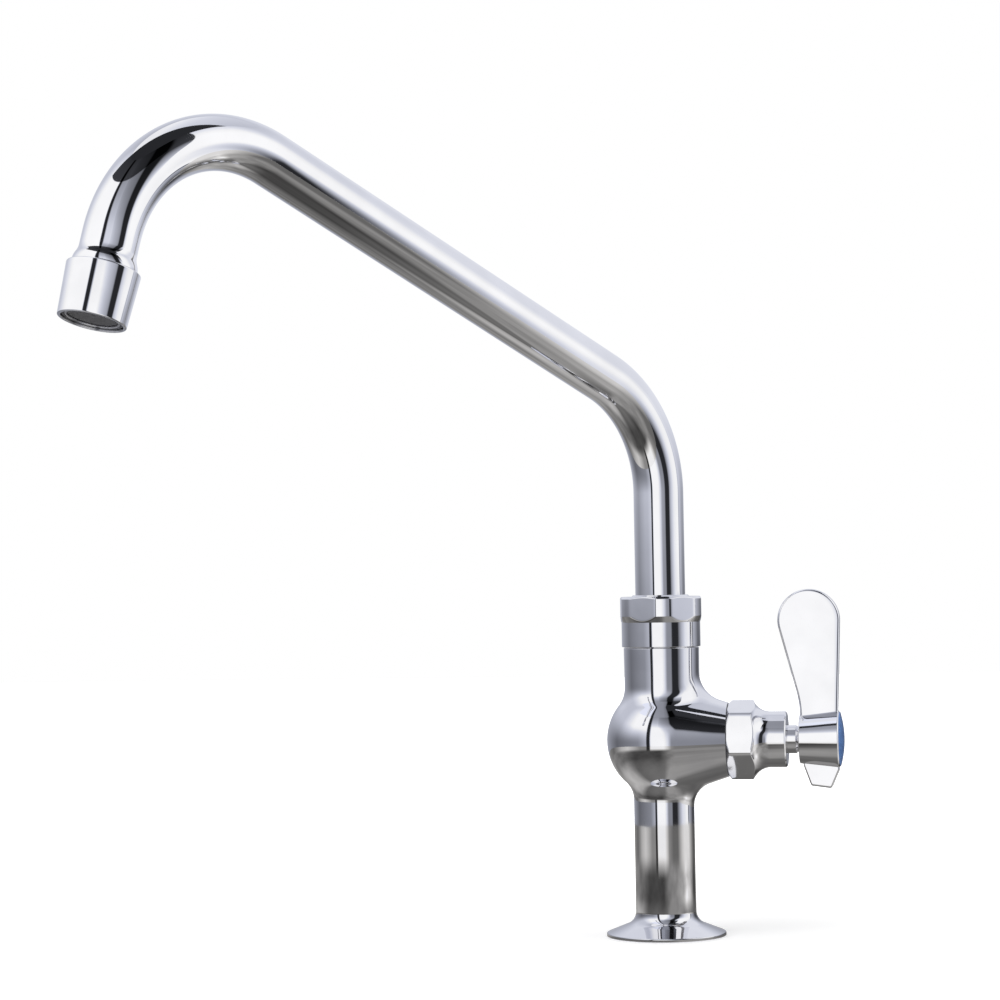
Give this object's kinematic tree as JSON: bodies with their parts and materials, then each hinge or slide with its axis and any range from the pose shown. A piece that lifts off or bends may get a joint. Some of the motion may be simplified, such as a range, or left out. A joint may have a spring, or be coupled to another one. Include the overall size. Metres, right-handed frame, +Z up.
{
  "type": "single-hole bar faucet",
  "caption": "Deck-mounted bar faucet: slim column, ball-shaped valve body with a quarter-turn side lever, and a bent swinging tube spout ending in an aerator.",
  "frame": {"origin": "on the column's axis, in the plane of the deck, at the mouth of the threaded inlet", "axes": "+Z up along the column, +X along the valve's axis from the bulb toward the lever's hub, -Y the side that the lever opens toward"},
  "size_m": [0.2756, 0.2733, 0.3404],
  "materials": {
    "body_chrome": "polished chrome plate on brass",
    "nut_chrome": "polished chrome plate on brass",
    "bonnet_chrome": "polished chrome plate on brass",
    "tube_chrome": "polished chrome plate on brass tube",
    "aerator_chrome": "polished chrome plate on brass",
    "handle_chrome": "polished chrome plate on cast zinc",
    "brass": "machined, unplated",
    "steel": "plain stainless",
    "screen": "fine stainless mesh",
    "rubber": "matte black",
    "slip_plastic": "smooth white acetal",
    "seal_plastic": "dark grey flat seal",
    "aerator_plastic": "black moulded plastic",
    "ceramic": "lapped white alumina",
    "cap_blue": "glossy blue cap for cold water"
  },
  "bodies": {
    "faucet": {"faucet_body": "body_chrome", "foot_gasket": "rubber", "spout_nut": "nut_chrome", "lower_slip_washer": "slip_plastic", "upper_slip_washer": "slip_plastic", "bonnet_nut": "bonnet_chrome", "bonnet_seal_ring": "seal_plastic", "cartridge_housing": "brass", "cartridge_o_ring": "rubber", "seat_seal": "rubber", "fixed_disc": "ceramic", "thrust_washer": "slip_plastic"},
    "spout": {"spout_ferrule": "brass", "spout_o_ring_1": "rubber", "spout_o_ring_2": "rubber", "spout_tube": "tube_chrome", "aerator_housing": "aerator_chrome", "aerator_core": "aerator_plastic", "aerator_washer": "rubber", "screen_ring": "steel", "outlet_screen": "screen", "screen_spacer": "aerator_plastic", "inner_screen": "screen"},
    "handle": {"turning_disc": "ceramic", "valve_stem": "brass", "stem_o_ring_1": "rubber", "stem_o_ring_2": "rubber", "stem_clip": "steel", "lever_handle": "handle_chrome", "handle_screw": "steel", "index_cap": "cap_blue"}
  },
  "joints": [
    {"name": "spout_swivel", "type": "hinge", "parent": "faucet", "child": "spout", "pos_m": [0, 0, 0.13], "axis": [0, 0, 1], "continuous": true},
    {"name": "lever_turn", "type": "hinge", "parent": "faucet", "child": "handle", "pos_m": [0, 0, 0.086], "axis": [1, 0, 0], "range_deg": [0, 90]}
  ]
}
